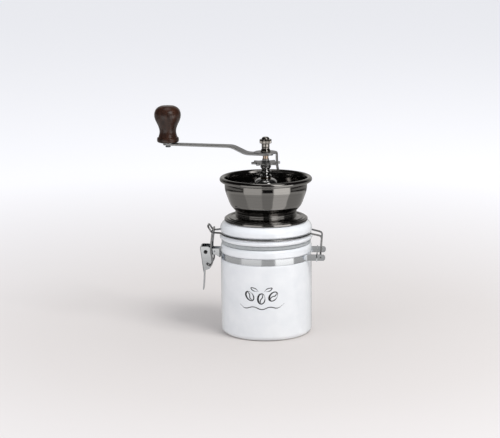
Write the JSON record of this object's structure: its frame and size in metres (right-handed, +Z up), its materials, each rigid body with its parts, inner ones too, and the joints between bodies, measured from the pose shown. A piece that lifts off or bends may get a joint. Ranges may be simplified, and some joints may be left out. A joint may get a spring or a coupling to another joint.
{
  "type": "hand crank coffee grinder",
  "caption": "Coffee grinder on a ceramic clip-top jar: steel hopper bowl, bridge with shaft, cranked arm with a wooden knob, lid hinged at one side and wire latch at the other.",
  "frame": {"origin": "centre of the jar's flat base", "axes": "+Z up along the jar and shaft; +X towards the lid's hinge, -X towards the latch; millimetre source"},
  "size_m": [0.1828, 0.099, 0.2388],
  "materials": {
    "glaze": "gloss",
    "silicone": "matte",
    "steel": "satin",
    "dark_steel": "satin",
    "wire": "polished",
    "gunmetal": "polished",
    "chrome": "polished",
    "cast": "matte",
    "screw": "polished",
    "bronze": "satin",
    "nut": "polished",
    "walnut": "satin lacquer"
  },
  "bodies": {
    "jar": {"canister": "glaze", "neck_band": "steel", "band_tie": "steel", "latch_bracket": "steel", "lever_pin": "dark_steel"},
    "lever": {"latch_lever": "steel"},
    "link": {"latch_link": "wire"},
    "lid": {"gasket": "silicone", "lid_ring": "glaze", "bail_wire": "wire", "base_collar": "gunmetal", "hopper_bowl": "gunmetal", "burr_housing": "cast", "outer_burr": "cast", "clamp_plate": "steel", "clamp_screws": "screw", "bridge": "chrome", "bridge_screws": "screw", "shaft_bushing": "bronze", "burr_spring": "wire"},
    "crank": {"shaft": "steel", "inner_burr": "cast", "burr_washer": "steel", "burr_nut": "screw", "adjuster_hub": "chrome", "adjuster_wheel": "steel", "lock_clip": "steel", "crank_arm": "steel", "top_nut": "nut", "knob_spindle": "steel", "knob_washer": "steel"},
    "knob": {"knob": "walnut"}
  },
  "joints": [
    {"name": "lid_hinge", "type": "hinge", "parent": "jar", "child": "lid", "pos_m": [0.058, 0, 0.084], "axis": [0, 1, 0], "range_deg": [0, 100]},
    {"name": "crank_spin", "type": "hinge", "parent": "lid", "child": "crank", "pos_m": [0, 0, 0.19], "axis": [0, 0, 1], "continuous": true},
    {"name": "knob_spin", "type": "hinge", "parent": "crank", "child": "knob", "pos_m": [-0.10564, 0.02245, 0.2], "axis": [0, 0, 1], "continuous": true},
    {"name": "lever_hinge", "type": "hinge", "parent": "jar", "child": "lever", "pos_m": [-0.064, 0, 0.0866], "axis": [0, 1, 0], "range_deg": [0, 100]},
    {"name": "link_hinge", "type": "hinge", "parent": "lever", "child": "link", "pos_m": [-0.0625, 0, 0.0739], "axis": [0, 1, 0], "range_deg": [-270.5, 0]}
  ],
  "couplings": [
    {"joint": "link_hinge", "follows": "lever_hinge", "ratio": -2.7}
  ]
}
